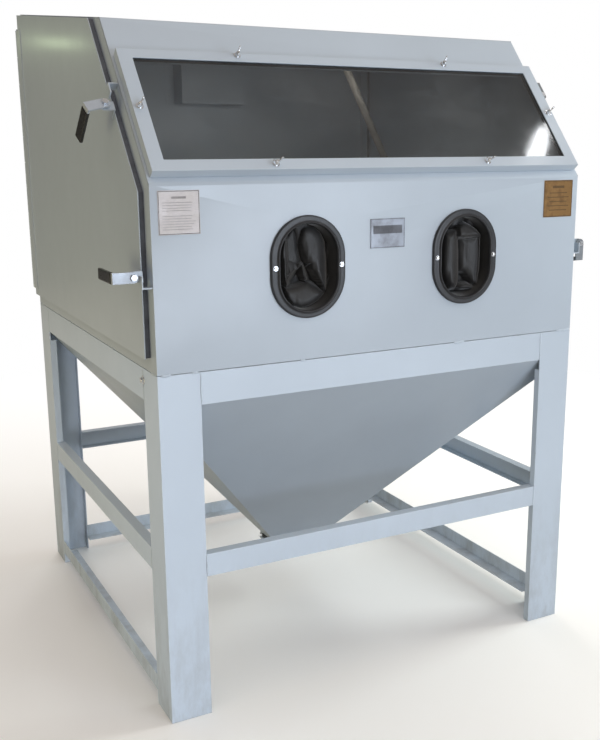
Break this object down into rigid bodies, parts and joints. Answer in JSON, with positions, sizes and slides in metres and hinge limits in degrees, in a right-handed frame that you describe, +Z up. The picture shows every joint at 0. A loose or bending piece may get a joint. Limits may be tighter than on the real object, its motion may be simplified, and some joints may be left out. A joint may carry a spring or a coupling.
{
  "type": "sandblast cabinet",
  "caption": "Floor-standing blast cabinet: leaning window, two arm ports, side doors with lever latches, pyramid hopper on a four-leg stand.",
  "frame": {"origin": "on the floor under the front flange of the front left leg, 52 mm in from the leg's outer side face and in the middle of its sheet", "axes": "+X to the operator's right, +Y from the operator to the back, +Z up"},
  "size_m": [1.3598, 1.2653, 1.788],
  "materials": {
    "paint": "semi-gloss light blue-grey paint",
    "door_paint": "semi-gloss light blue-grey paint",
    "zinc": "bright zinc plate",
    "rubber": "matt charcoal sponge rubber",
    "port_rubber": "satin black moulded rubber",
    "vinyl": "black dipped vinyl",
    "glove": "black rubber-coated fabric",
    "glass": "clear laminated glass",
    "plate": "brushed silver",
    "copper": "brushed copper-brown",
    "label": "matt pale film",
    "hose": "grey rubber hose",
    "lamp": "white enamel",
    "cast_metal": "cast, lightly pitted",
    "steel": "bare bar, dull"
  },
  "bodies": {
    "root": {"leg_front_left": "paint", "leg_front_right": "paint", "leg_rear_left": "paint", "leg_rear_right": "paint", "top_rail_front": "paint", "mid_rail_front": "paint", "top_rail_rear": "paint", "mid_rail_rear": "paint", "low_rail_rear": "paint", "top_rail_left": "paint", "mid_rail_left": "paint", "low_rail_left": "paint", "top_rail_right": "paint", "mid_rail_right": "paint", "low_rail_right": "paint", "hopper": "paint", "cleanout_gasket": "rubber", "cleanout_hinge_pin": "zinc", "front_panel": "paint", "roof_panel": "paint", "rear_panel": "paint", "exhaust_collar": "paint", "side_frame_left": "paint", "door_gasket_left": "rubber", "hinge_leaf_left": "paint", "hinge_pin_left": "zinc", "arm_ring_left": "port_rubber", "glove_left": "glove", "side_frame_right": "paint", "door_gasket_right": "rubber", "hinge_leaf_right": "paint", "hinge_pin_right": "zinc", "arm_ring_right": "port_rubber", "glove_right": "glove", "window_frame": "paint", "window_glass": "glass", "window_gasket": "rubber", "work_grate": "steel", "blast_gun": "cast_metal", "gun_hose": "hose", "work_light": "lamp", "plate_centre": "plate", "plate_left": "label", "plate_right": "copper"},
    "door_left": {"door_left": "door_paint", "latch_bolt_left_lower": "zinc", "latch_bolt_left_upper": "zinc"},
    "latch_left_lower": {"latch_lever_left_lower": "zinc", "latch_grip_left_lower": "vinyl"},
    "latch_left_upper": {"latch_lever_left_upper": "zinc", "latch_grip_left_upper": "vinyl"},
    "door_right": {"door_right": "door_paint", "latch_bolt_right_lower": "zinc", "latch_bolt_right_upper": "zinc"},
    "latch_right_lower": {"latch_lever_right_lower": "zinc", "latch_grip_right_lower": "vinyl"},
    "latch_right_upper": {"latch_lever_right_upper": "zinc", "latch_grip_right_upper": "vinyl"},
    "cleanout_door": {"cleanout_door": "paint"},
    "cleanout_bolt": {"cleanout_bolt": "zinc"}
  },
  "joints": [
    {"name": "left_door", "type": "hinge", "parent": "root", "child": "door_left", "pos_m": [-0.0654, 1.2023, 1.339], "axis": [0, 0, -1], "range_deg": [0, 120]},
    {"name": "right_door", "type": "hinge", "parent": "root", "child": "door_right", "pos_m": [1.1804, 1.2023, 1.339], "axis": [0, 0, 1], "range_deg": [0, 120]},
    {"name": "left_lower_latch", "type": "hinge", "parent": "door_left", "child": "latch_left_lower", "pos_m": [-0.09, 0.01875, 1.11], "axis": [0, -1, 0], "range_deg": [0, 90]},
    {"name": "left_upper_latch", "type": "hinge", "parent": "door_left", "child": "latch_left_upper", "pos_m": [-0.09, 0.17384, 1.48955], "axis": [0, 0.7645, -0.6446], "range_deg": [0, 90]},
    {"name": "right_lower_latch", "type": "hinge", "parent": "door_right", "child": "latch_right_lower", "pos_m": [1.205, 0.01875, 1.124], "axis": [0, -1, 0], "range_deg": [0, 90]},
    {"name": "right_upper_latch", "type": "hinge", "parent": "door_right", "child": "latch_right_upper", "pos_m": [1.205, 0.21058, 1.53313], "axis": [0, 0.7645, -0.6446], "range_deg": [0, 90]},
    {"name": "cleanout_swing", "type": "hinge", "parent": "root", "child": "cleanout_door", "pos_m": [0.5575, 0.6895, 0.146], "axis": [1, 0, 0], "range_deg": [0, 45]},
    {"name": "cleanout_slide", "type": "slide", "parent": "cleanout_door", "child": "cleanout_bolt", "axis": [-1, 0, 0], "range_m": [0, 0.028]}
  ]
}
